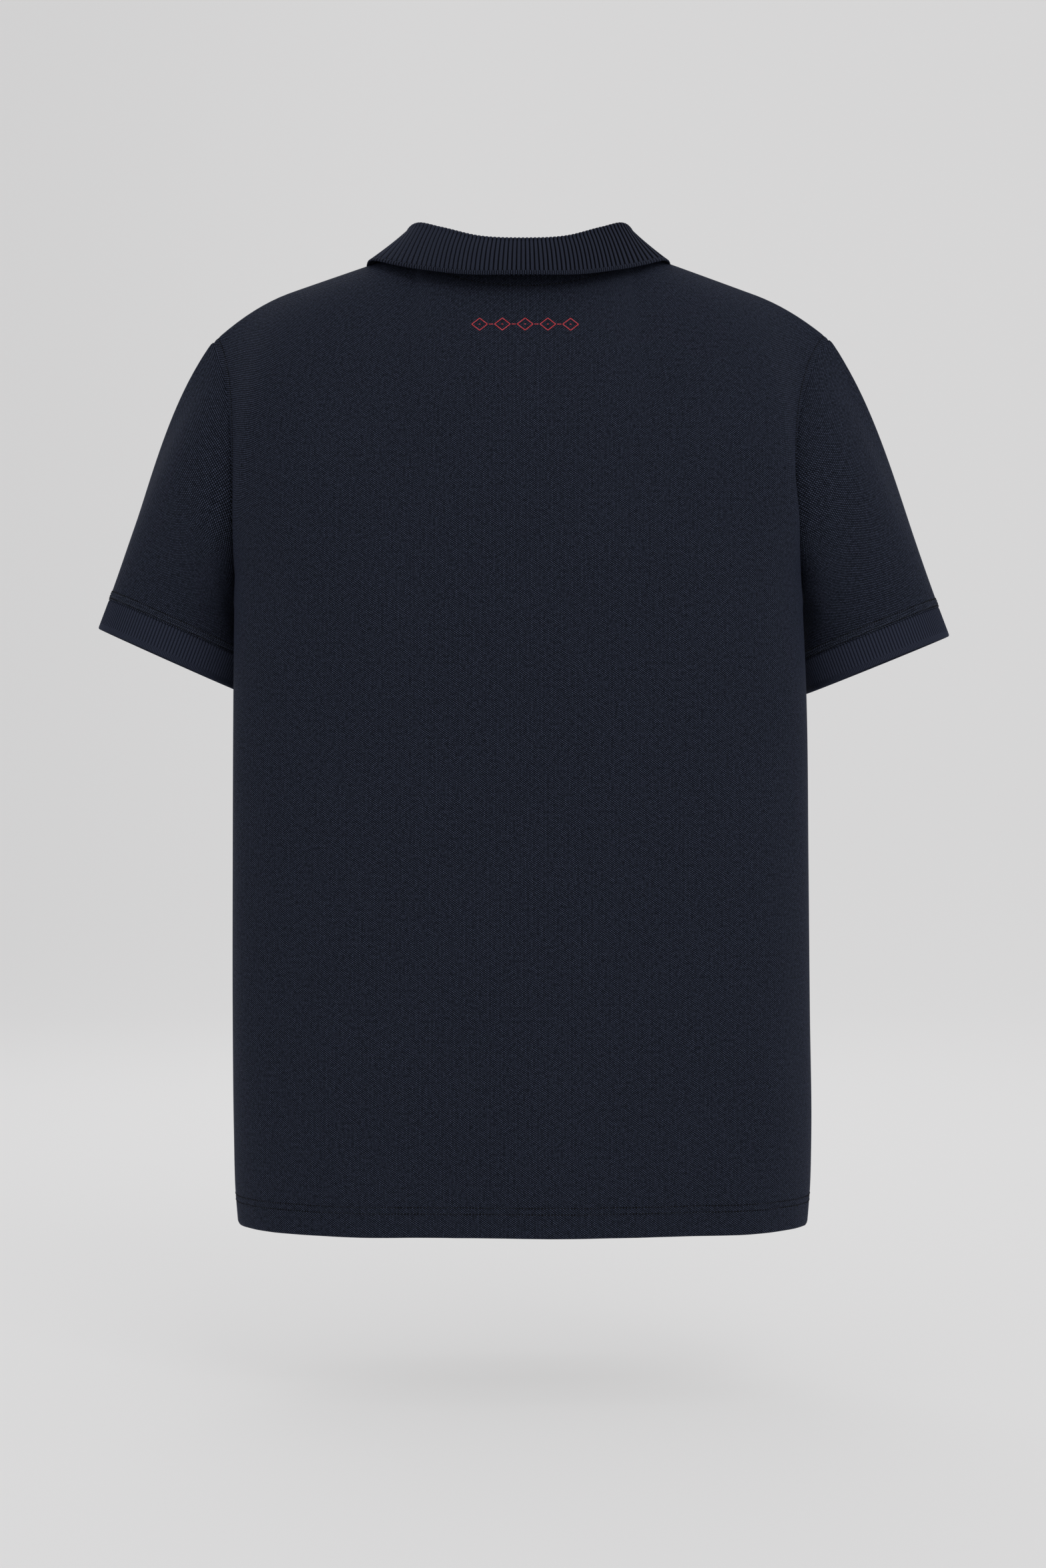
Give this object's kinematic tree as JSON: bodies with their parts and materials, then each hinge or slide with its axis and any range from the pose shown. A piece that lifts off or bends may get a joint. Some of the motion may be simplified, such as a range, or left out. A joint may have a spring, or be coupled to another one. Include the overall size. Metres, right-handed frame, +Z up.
{
  "type": "polo shirt",
  "caption": "Short-sleeved knitted polo shirt with a ribbed collar and cuffs and a buttoned neck placket, filled out as if worn, open at neck, hem and cuffs.",
  "frame": {"origin": "middle of the neck opening between the neck ends of the two shoulder seams, where a wearer's shoulders carry the shirt", "axes": "+Z up, +Y to the back of the shirt, -Y to its front with the placket, +X to the wearer's left"},
  "size_m": [0.6349, 0.2308, 0.7291],
  "materials": {
    "pique": "matte knitted cotton pique",
    "rib_knit": "matte rib knit",
    "button": "satin"
  },
  "bodies": {
    "root": {"back_panel": "pique", "front_panel": "pique", "sleeve_left": "pique", "sleeve_right": "pique", "cuff_left": "rib_knit", "cuff_right": "rib_knit", "collar": "rib_knit", "placket_over": "pique", "placket_under": "pique", "button_1": "button", "button_2": "button", "button_3": "button"}
  },
  "joints": []
}
